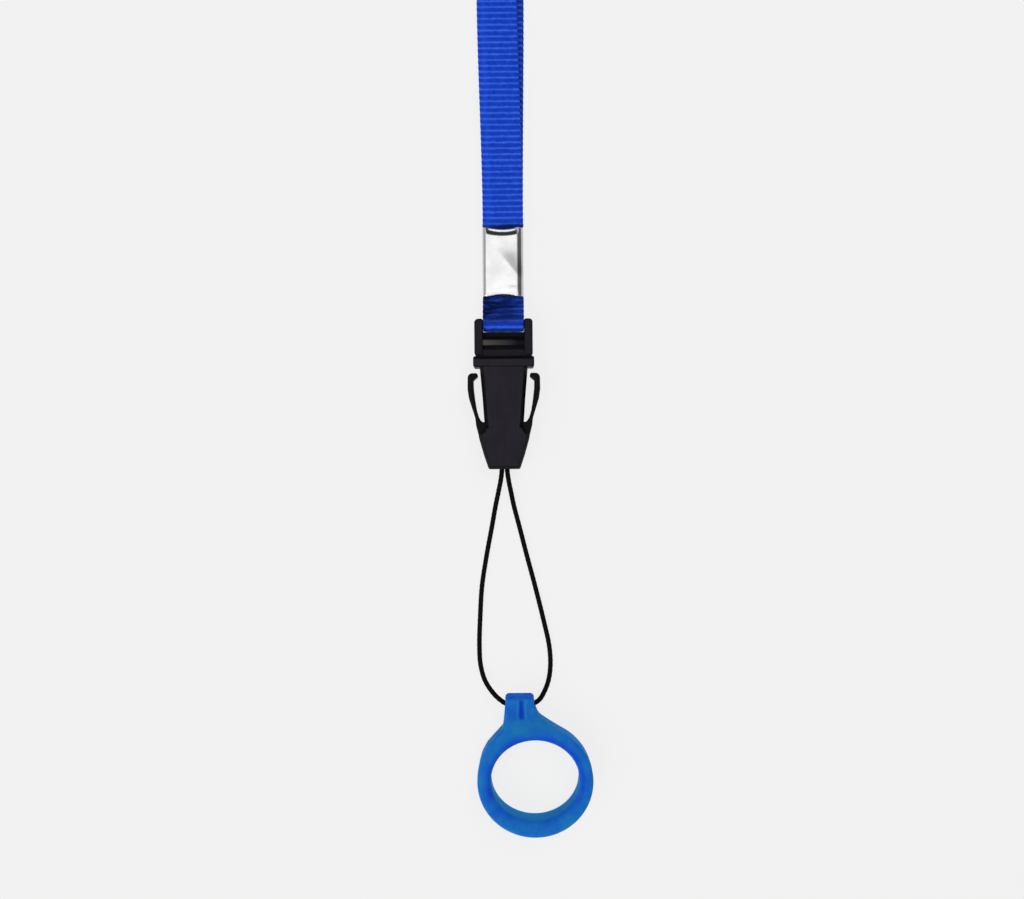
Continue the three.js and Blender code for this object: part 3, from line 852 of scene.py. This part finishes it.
def make_strap():
    """One length of ribbed webbing: the loop in the buckle, two plies to the hank, and its folds."""
    rows = []
    for (start, end), part in zip(DRIFT, strap_line()):
        share = smoothstep(0, 1, np.linspace(0, 1, len(part)))
        rows.append(np.column_stack([part, mix(start, end, share)]))
    line, along = evenly(np.concatenate(rows), WEB["pitch"] / WEB["steps"])
    y, z, drift = line.T
    rib = along / WEB["pitch"]

    crimp_from, crimp_to = CRIMP_LOW[1], CRIMP_HIGH[1]
    in_crimp = smoothstep(crimp_from - 0.1, crimp_from + 0.3, y) * smoothstep(crimp_to + 0.3, crimp_to, y)
    above = smoothstep(crimp_to, crimp_to + 3, y)
    width_share = (1 - 0.14 * in_crimp) * (0.99 - 0.01 * above)
    across, heights, share = strap_section(rib, width_share, 1 - 0.15 * drawn_in(y))
    tangent = unit(np.gradient(line[:, :2], axis=0))
    normal = np.stack([-tangent[:, 1], tangent[:, 0]], axis=1)
    # Creases run across the webbing where the crimp pinches the loop.
    creased = smoothstep(crimp_from, crimp_from - 0.8, y) * smoothstep(BAR["y"] + 0.6, BAR["y"] + 2.4, y)
    slant = 0.12 * across
    crease = creased[:, None] * (
        0.07 * np.sin(2 * math.pi * (y[:, None] + slant) / 2.9)
        + 0.05 * np.sin(2 * math.pi * (y[:, None] - 2 * slant) / 1.3 + 1.0)
    )
    offset = heights + crease
    places_y = y[:, None] + normal[:, :1] * offset
    places_z = z[:, None] + normal[:, 1:] * offset
    points = np.stack([across + drift[:, None], places_y, places_z], axis=2)
    count = points.shape[1]
    strap = made("neck_strap", points.reshape(-1, 3), skin(len(y), count), smooth_below=80)
    attribute(strap, "rib", np.repeat(rib, count))
    attribute(strap, "across", np.tile(share, len(y)))
    # Painted shade: the loop between the bar and the crimp is darker, more on its left, and a painted shadow
    # lies at the crimp's upper end and just above it.
    shaded = smoothstep(BAR["y"] - 2.2, BAR["y"] + 1.8, y) * smoothstep(crimp_to, crimp_from, y)
    near_top = 0.95 * smoothstep(crimp_to + 1.5, crimp_to + 0.3, y) * smoothstep(crimp_from, crimp_to, y)
    left_more = 0.95 - 0.2 * share
    painted_shade = np.maximum(shaded[:, None] * left_more[None, :], near_top[:, None])
    # The rear ply lies in the front one's shadow where it shows beside it.
    below_hank = smoothstep(crimp_to, crimp_to + 4, y) * smoothstep(HANK_LOW[1] + 12, HANK_LOW[1], y)
    rear = (along > 0.5 * along[-1]) * below_hank
    facing_up = np.concatenate([np.zeros(12), np.ones(count - 12)])
    hidden = 0.55 * smoothstep(0.5, 0.8, share) * facing_up
    attribute(strap, "painted_shade", np.maximum(painted_shade, 0.7 * rear[:, None] * hidden[None, :]).ravel())
    plies = ["neck_webbing_front", "neck_webbing_rear", "neck_webbing_hank", "buckle_webbing_loop"]
    dress(strap, "blue_webbing", *plies)
    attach(strap, "neck_loop")


def make_tie():
    """A woven elastic band round the hank's waist."""
    low, high = TIE_LOW, TIE_HIGH
    thick = 0.7
    middle = rounded(
        [
            (low[0] + thick / 2, low[2] + thick / 2, 1.0),
            (high[0] - thick / 2, low[2] + thick / 2, 1.0),
            (high[0] - thick / 2, high[2] - thick / 2, 1.0),
            (low[0] + thick / 2, high[2] - thick / 2, 1.0),
        ],
        8,
    )
    ring, _ = evenly(np.concatenate([middle, middle[:1]]), 0.3)
    ring = ring[:-1]
    half = (high[1] - low[1]) / 2
    place = np.linspace(-1, 1, 31)
    cords = 0.5 + 0.5 * np.cos(2 * math.pi * place * 5)
    edge = np.sqrt(1 - np.maximum(abs(place) - 0.92, 0) ** 2 / 0.08**2)
    outer = thick / 2 * edge * (0.78 + 0.22 * cords)
    section = [(p * half, h) for p, h in zip(place, outer)]
    section += [(p * half, -thick / 2 * e * 0.9) for p, e in zip(place[-2:0:-1], edge[-2:0:-1])]
    cord = np.concatenate([cords, np.zeros(len(place) - 2)])
    shifts = {height: inset(ring, -height) for height in {round(h, 5) for _, h in section}}
    y_middle = (low[1] + high[1]) / 2
    points = [
        (shifts[round(h, 5)][i][0], y_middle + y, shifts[round(h, 5)][i][1])
        for i in range(len(ring))
        for y, h in section
    ]
    count = len(section)
    faces = []
    for i in range(len(ring)):
        faces += band_faces(i * count, (i + 1) % len(ring) * count, count)
    band = made("tie_band", points, faces, smooth_below=60)
    attribute(band, "cord", np.tile(cord, len(ring)))
    dress(band, "black_elastic", "hank_tie")
    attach(band, "neck_loop")


def painted_reflection_at(across, s, long, face):
    """How dark the crimp's painted reflections are round one of its outlines, s from its lower end."""
    # Painted reflection: darker beyond a diagonal line and on both sides, and a darker spot by the lower lip.
    along = s - long / 2
    beyond = np.maximum(0.778 * (across + 1.56) + 0.628 * (along - 2.57), 0)
    fade = smoothstep(4.6, 1.2, along) * smoothstep(-5.0, -2.0, along)
    diagonal_reflection = 0.62 * smoothstep(0.0, 0.7, beyond) * smoothstep(5.0, 1.0, beyond)
    diagonal_reflection = diagonal_reflection * fade * smoothstep(-2.5, 2.5, across)
    sides = 0.12 * smoothstep(3.0, 3.6, across) + 0.3 * smoothstep(-4.15, -4.5, across)
    sides = sides + 0.35 * smoothstep(4.2, 4.5, across)
    dark_spot = 0.4 * np.exp(-(((across - 2.4) / 1.1) ** 2) - ((s - 2.3) / 0.35) ** 2)
    return (diagonal_reflection + dark_spot) * face + sides


def make_crimp():
    """Folded sheet metal: a lip at each end, a groove inside each lip and a seam underneath."""
    low, high = CRIMP_LOW, CRIMP_HIGH
    wall = 0.45
    x = (high[0] - low[0]) / 2
    bottom, top = low[2], high[2] - 0.05
    outline = rounded(
        [
            (-x, bottom, 0.9), (-0.25, bottom, 0.3), (-0.25, bottom + wall, 0),
            (0.25, bottom + wall, 0), (0.25, bottom, 0.3), (x, bottom, 0.9), (x, top, 2.6),
            (-x, top, 1.05),
        ],
        18,
    )
    dense, _ = evenly(np.concatenate([outline, outline[:1]]), 0.2)
    outline = dense[:-1]
    inner_top = CRIMP_PLIES[1] + WEB["half_thick"] + WEB["relief"] + 0.08
    inner = rounded(
        [
            (-x + wall, bottom + wall + 0.12, 0.4), (x - wall, bottom + wall + 0.12, 0.4),
            (x - wall, inner_top, 1.1), (-x + wall, inner_top, 0.6),
        ],
        6,
    )
    long = high[1] - low[1]
    near = np.linspace(0, 2.6, 27)
    stations = np.concatenate([near, np.linspace(2.9, long - 2.9, 40), long - near[::-1]])
    centre = np.array((0, (bottom + top) / 2))
    face = smoothstep(top - 1.2, top - 0.2, outline[:, 1])
    middle = face * (1 - smoothstep(3.2, 4.1, abs(outline[:, 0] + 0.25)))
    outward = unit(outline - centre)
    points = []
    painted_reflection = []
    for s in stations:
        from_end = min(s, long - s)
        upper = s > long / 2
        # The plate steps down to a flat lip at its upper end, and less so at its lower end.
        sag = 0.30 * (1 - (outline[:, 0] / 3.4) ** 2)
        drop = np.clip((1.75 + sag - from_end) / 1.2, 0, 1) if upper else smoothstep(1.5, 0.7, from_end)
        down = (0.52 if upper else 0.05) * drop * middle
        turned = 0.16 * max(0.0, 1 - from_end / 0.25) ** 2
        # Painted dark reflection in the groove under the upper lip.
        lip = 4.0 * float(upper) * middle * drop * (1 - drop)
        painted_reflection.append(np.clip(painted_reflection_at(outline[:, 0], s, long, face) + lip, 0, 0.95))
        crown = np.maximum(1 - (outline[:, 0] / 3.9) ** 2, 0)
        arch = 0.42 * face * crown * max(0.0, 1 - from_end / 2.6)
        y = low[1] + s + arch * (-1 if upper else 1)
        moved = outline - outward * turned
        points += list(zip(moved[:, 0], y, moved[:, 1] - down))
    crimp = made("crimp_sleeve", points, skin(len(stations), len(outline)), smooth_below=50)
    attribute(crimp, "painted_reflection", np.concatenate(painted_reflection))
    bore = along_y("crimp_bore", inner, low[1] - 1, high[1] + 1)
    boolean(crimp, [bore], "DIFFERENCE", 50)
    even_shading(crimp)
    dress(crimp, "nickel_plate", "crimp_clamp")
    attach(crimp, "neck_loop")


# ---- buckle


def thickness(share):
    """Lowest and highest Z of a slab about the buckle's middle."""
    return MID - share / 2, MID + share / 2


def make_plug():
    """The upper half: rails, the webbing bar, a round rib, a groove, and the tongue."""
    low, high = PLUG_LOW, PLUG_HIGH
    x = high[0]
    rail = 2.0  # each side rail's width
    start = high[1] - 8.9  # the frame's lower edge
    end = high[1] - 0.2
    z_low, z_high = low[2], high[2]
    rails = []
    for side, corner in ((1, 0.8), (-1, 1.25)):
        corners = [
            (x - rail, start, 0.25), (x, start, 0.5), (x, end, corner), (x - rail, end, 0.35),
        ]
        rails.append(moulded("rail", sided(corners, side), z_low, z_high, (0.35, 0.35)))
    deck = z_high - 0.55  # the cross piece's upper face
    slot = start + 4.3  # where the webbing's opening begins
    half = [
        (start + 0.05, MID, 0), (start + 0.05, deck, 0.3), (start + 1.35, deck, 0.2),
        (start + 1.5, deck - 0.85, 0.1), (start + 2.05, deck - 0.85, 0.1),
        (start + 2.15, deck - 0.35, 0.3), (start + 2.45, deck + 0.22, 0.5),
        (start + 3.55, deck + 0.22, 0.5), (start + 4.1, deck - 0.8, 0.3), (slot + 0.3, deck - 1.0, 0.2),
        (slot + 1.33, MID + 0.62, 0.15), (slot + 1.28, MID, 0),
    ]
    under = [(y, 2 * MID - z, radius) for y, z, radius in reversed(half[1:-1])]
    bridge = along_x("bridge", rounded([*half, *under], 5), rail - x - 0.2, x - rail + 0.2)
    bar_outline = ellipse(BAR["y"] - 0.05, MID, 0.85, 0.85, 32)
    bar = along_x("bar", bar_outline, rail - x - 0.2, x - rail + 0.2)
    tip = low[1]
    shoulder = PRONG_HIGH[1] + 0.75
    tongue_half = [
        (0, tip, 0), (1.8, tip, 0.4), (2.5, tip + 0.5, 0.3), (2.5, tip + 1.2, 0.3),
        (1.4, tip + 2.2, 0.5), (1.4, shoulder, 0.6), (4.6, shoulder + 0.3, 0.4),
        (4.6, start + 0.8, 0.1), (0, start + 0.8, 0),
    ]
    tongue = moulded("tongue", mirrored(tongue_half), *thickness(3.3), (0.25, 0.25))
    spine_half = [(0.5, tip + 3, 0.2), (0.5, shoulder + 1, 0.1)]
    spine = moulded("spine", mirrored(spine_half), *thickness(3.7), (0.12, 0.12))
    sill = box("sill", (-6.3, HOUSING_HIGH[1] + 0.05, z_low + 0.4), (6.3, start + 0.4, z_high - 0.4))
    corners = [
        box("corner", (side * 5.0 - 0.13, slot, MID - 0.4), (side * 5.0 + 0.13, slot + 1.55, MID + 0.4))
        for side in (-1, 1)
    ]
    plug = boolean(rails[0], [rails[1], bridge, bar, tongue, spine, sill, *corners], "UNION")
    plug.name = "plug_body"
    px, py, pz = local_points(plug).T
    on_ridge = (py > start + 2.2) & (py < start + 3.8) & (pz > deck)
    recess = (abs(px) < x - rail + 0.1) & (py > start + 3.9)
    groove = (abs(px) < x - rail + 0.1) & (py > start + 1.4) & (py < start + 2.1)
    # Painted highlight on the ridge's left half; painted shade on its right half, in the recess and in the
    # groove; the rest a little darker than the housing's faces.
    painted_light = np.where(on_ridge, np.where(px < 0, 5.5, -1.0), 0.65)
    plastic(plug, "plug_frame", np.where(recess | groove, 0.0, painted_light))
    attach(plug, "plug")


def make_prongs():
    """Springy catches that grow out of the tongue's head and end in a barb."""
    top = PRONG_HIGH[1]
    barb = PRONG_HIGH[0]
    corners = [
        (2.2, 13.25, 0.1), (3.4, 13.25, 0.5), (4.0, 17.5, 2.0), (4.35, 21.5, 0.6), (barb, 23.1, 0.2),
        (barb, top, 0.25), (3.75, top, 0.3), (3.45, 21.5, 1.0), (3.15, 17.5, 2.0), (2.75, 14.3, 0.5),
        (2.2, 14.0, 0.1),
    ]
    for side, word in ((1, "right"), (-1, "left")):
        thick = thickness(PRONG_HIGH[2] - PRONG_LOW[2])
        prong = moulded("latch_" + word, sided(corners, side), *thick, (0.15, 0.15))
        # Painted shade: the prongs are a little darker than the housing's faces.
        plastic(prong, "latch_prong_" + word, np.full(len(prong.data.vertices), 0.4))
        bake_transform(prong)


def make_housing():
    """The lower half: a tapering body with sloped shoulders, a collar, the socket and its windows."""
    high = HOUSING_HIGH
    top = high[1]
    collar_from = top - 2.65
    root = ARM_LOW[1] - 0.3  # where the arms grow out of the body
    body_z = thickness(6.2)
    base_half = [
        (0, 0, 0), (3.75, 0, 0.5), (4.9, 3.4, 3.0), (6.00, 7.3, 2.0), (6.20, 8.3, 0.9), (5.0, 9.6, 0.9),
        (4.7, 10.6, 0.5), (0, 10.6, 0),
    ]
    base = moulded("housing_shell", mirrored(base_half), *body_z, (0.8, 1.2), steps=6, fullness=1.2)
    root_half = [
        (0, 8.0, 0), (6.1, 8.0, 0.1), (6.75, 10.6, 1.0), (6.85, root, 0.1), (5.6, root, 0.3),
        (5.05, root - 0.6, 0.45), (4.4, root, 0.2), (0, root, 0),
    ]
    arm_thick = ARM_HIGH[2] - ARM_LOW[2]
    roots = moulded("roots", mirrored(root_half), *thickness(arm_thick), (0.25, 0.35))
    upper_half = [
        (0, 5.0, 0), (3.9, 5.0, 0.2), (4.80, 12.2, 2.0), (5.1, 16.8, 3.0),
        (5.88, collar_from + 1.5, 0.1), (0, collar_from + 1.5, 0),
    ]
    upper = moulded("upper", mirrored(upper_half), *body_z, (0.9, 1.2), steps=6, fullness=1.2)
    x = high[0]
    collar_half = [(x, collar_from, 0.45), (x, top, 0.6)]
    collar = moulded("collar", mirrored(collar_half), HOUSING_LOW[2], high[2], (0.4, 0.4), steps=5)
    boolean(base, [roots, upper, collar], "UNION")

    # The collar slopes down to the parting line.
    brow = [(top - 0.85, high[2] + 0.02), (top + 0.2, high[2] - 1.0), (top + 0.2, high[2] + 1)]
    cuts = [along_x("brow", brow, -9, 9)]
    socket_half = [(3.95, 12.6, 0.3), (4.95, collar_from, 0.5), (4.95, top + 1, 0)]
    cuts.append(moulded("socket", mirrored(socket_half), *thickness(4.0), (0.15, 0.15)))
    cuts.append(box("knot_room", (-2.2, 2.4, MID - 1.9), (2.2, 13.0, MID + 1.9)))
    hole_half = [(1.6, MID - 0.9, 0.85), (1.6, MID + 0.9, 0.85)]
    cuts.append(along_y("cord_hole", rounded(mirrored(hole_half)), -1.0, 3.0))
    window_low, window_high = thickness(2.6)
    for side in (-1, 1):
        near, far = sorted((side * 4.4, side * 7.6))
        window = box("window", (near, 21.2, window_low), (far, collar_from - 0.01, window_high))
        near, far = sorted((side * 4.4, side * 5.75))
        keyway = box("keyway", (near, collar_from - 0.5, window_low), (far, top + 1, window_high))
        cuts += [window, keyway]
    shell = boolean(base, cuts, "DIFFERENCE")
    # Painted shade: the slopes and the hollows beside them are painted darker than the raised flat faces.
    raised = np.array([abs(face.center.z / MM - MID) > 3.05 for face in shell.data.polygons])
    level = np.array([abs(face.normal.z) for face in shell.data.polygons])
    painted_light = mix(0.05, 1.0, smoothstep(0.90, 0.99, level) * raised)
    plastic(shell, "release_housing", painted_light, "FACE")
    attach(shell, "housing")


def make_arms():
    """Squeeze arms that grow out of the housing's base and end in an inward hook."""
    tip = ARM_HIGH[1] - 0.3
    outer = ARM_HIGH[0]
    corners = [
        (5.35, 11.2, 0.1), (6.75, 11.2, 0.1), (7.02, 12.6, 2.0), (7.75, 14.9, 3.0), (8.40, 17.0, 3.0),
        (outer, 19.2, 3.0), (outer - 0.05, tip, 1.15), (6.3, tip - 0.05, 0.4), (6.3, tip - 0.85, 0.3),
        (7.35, tip - 1.75, 0.5), (7.30, 19.4, 3.0), (7.00, 16.8, 3.0), (6.56, 14.1, 2.0),
        (6.08, 12.5, 0.8), (5.55, 11.6, 0.2),
    ]
    for side, word in ((1, "right"), (-1, "left")):
        thick = thickness(ARM_HIGH[2] - ARM_LOW[2])
        arm = moulded("squeeze_arm_" + word, sided(corners, side), *thick, (0.45, 0.5), steps=5)
        # Painted shade: the arms are much darker than the housing's faces.
        plastic(arm, "release_arm_" + word, np.full(len(arm.data.vertices), 0.08))
        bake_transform(arm)


# ---- holder ring


def make_ring():
    """Soft silicone: a band with round edges, a tab that flows into it, and the cord's bore."""
    low, high = RING_LOW, RING_HIGH
    x = 6.8
    y = -74.75
    outer = (13.9, 13.3)
    inner = (10.6, 9.6)
    inner_y = y + 0.3
    top = high[2]
    rim = ellipse(x, y, *outer, 140)
    opening = ellipse(x, inner_y, *inner, 140, clockwise=True)
    band = moulded("silicone_ring", rim, low[2], top, (1.0, 1.2), holes=[opening], steps=6)
    tab_top = high[1] - 0.55
    left, right = -0.1, 6.75  # the tab's sides
    outline = [
        (left - 0.15, tab_top, 0.9), (left - 0.35, -58.5, 2.0), (left - 0.75, -62.1, 0.9),
        (-3.0, -64.4, 3.0), (-4.7, -66.3, 3.0), (-5.95, -68.6, 3.0), (-6.75, -71.4, 1.2),
        (-5.0, -73.0, 0.5), (16.6, -68.4, 0.5), (15.4, -65.0, 0.5), (13.2, -62.9, 2.0),
        (10.2, -61.0, 3.0), (7.7, -59.2, 3.5), (right, -56.6, 3.0), (right - 0.1, tab_top, 0.9),
    ]
    tab = moulded("tab", outline, 0, top, (1.0, 1.4), steps=6)
    clear = moulded("clear", ellipse(x, inner_y, 11.5, 10.5, 140), -1, top + 1, (0, 0), steps=1)
    boolean(tab, [clear], "DIFFERENCE")
    boolean(band, [tab], "UNION")
    # The tab thins towards its end.
    points = local_points(band)
    thin = mix(1.0, 5.0 / 7.0, smoothstep(-63.0, -57.5, points[:, 1]))
    points[:, 2] = top / 2 + (points[:, 2] - top / 2) * thin
    move_points(band, points)
    bore_y = -56.9
    around = 28
    bore = along_x("bore", ellipse(bore_y, top / 2, 0.95, 0.95, around), -4, 12)
    boolean(band, [bore], "DIFFERENCE")
    for side, end in ((-1, left), (1, right)):
        # Each end of the bore is flared by the cord that pulls on it.
        angles = np.linspace(0, 2 * math.pi, around, endpoint=False)
        flare = [
            (end + side * reach, bore_y + lift + radius * math.cos(a), top / 2 + radius * math.sin(a))
            for reach, radius, lift in ((-1.3, 0.8, 0.05), (-0.4, 1.15, 0.3), (0.6, 1.9, 0.7))
            for a in angles
        ]
        boolean(band, [made("flare", flare, skin(3, around))], "DIFFERENCE")
    remesh = band.modifiers.new("skin", "REMESH")
    remesh.mode = "VOXEL"
    remesh.voxel_size = 0.17 * MM
    soften = band.modifiers.new("soften", "SMOOTH")
    soften.factor = 0.5
    soften.iterations = 7
    applied(band)

    px, py, pz = local_points(band).T
    # A moulded groove down the tab's face, with a raised lip on each side.
    groove_x = 3.66
    down = smoothstep(-59.9, -59.2, py) * smoothstep(tab_top - 0.5, tab_top - 1.3, py)
    on_top = smoothstep(MID + 1.6, MID + 2.2, pz)
    away = abs(px - groove_x)
    relief = 0.16 * np.exp(-(((away - 0.95) / 0.26) ** 2)) - 0.5 * np.exp(-((away / 0.45) ** 2))
    pz = pz + down * on_top * relief
    # The mould's parting line round the band.
    radius = np.hypot((px - x) / outer[0], (py - y) / outer[1])
    flash = 0.05 * np.exp(-(((pz - top / 2) / 0.16) ** 2)) * smoothstep(0.97, 0.995, radius)
    px = px + flash * (px - x) / outer[0]
    py = py + flash * (py - y) / outer[1]
    move_points(band, np.stack([px, py, pz], axis=1))
    band.data.shade_smooth()
    hole = np.hypot((px - x) / inner[0], (py - inner_y) / inner[1])
    # Painted shade, read as edge: darker round the opening's upper rim, in the groove and over the tab's end;
    # painted highlight on the groove's lips and in a patch near the groove's lower end.
    rim = np.exp(-(((hole - 1.07) / 0.07) ** 2)) * smoothstep(2.0, 5.0, pz)
    rim = rim * mix(0.3, 1.0, smoothstep(inner_y - 8, inner_y - 1, py))
    in_groove = down * on_top * np.exp(-((away / 0.55) ** 2))
    at_end = smoothstep(tab_top - 1.1, tab_top - 0.3, py)
    patch = np.exp(-(((px - 2.6) / 1.6) ** 2) - ((py + 61.4) / 1.3) ** 2)
    lips = down * on_top * np.exp(-(((away - 0.95) / 0.3) ** 2))
    attribute(band, "edge", rim + 1.3 * in_groove + 0.9 * at_end - 0.7 * patch - 0.5 * lips)
    # Painted light: the inner wall of the opening is painted lighter.
    inner_wall = smoothstep(1.10, 1.03, hole) * smoothstep(6.3, 4.5, pz)
    attribute(band, "painted_light_wall", inner_wall)
    dress(band, "blue_silicone", "holder_ring")
    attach(band, "ring")


make_plug()
make_strap()
make_tie()
make_crimp()
make_prongs()
make_housing()
make_arms()
make_ring()
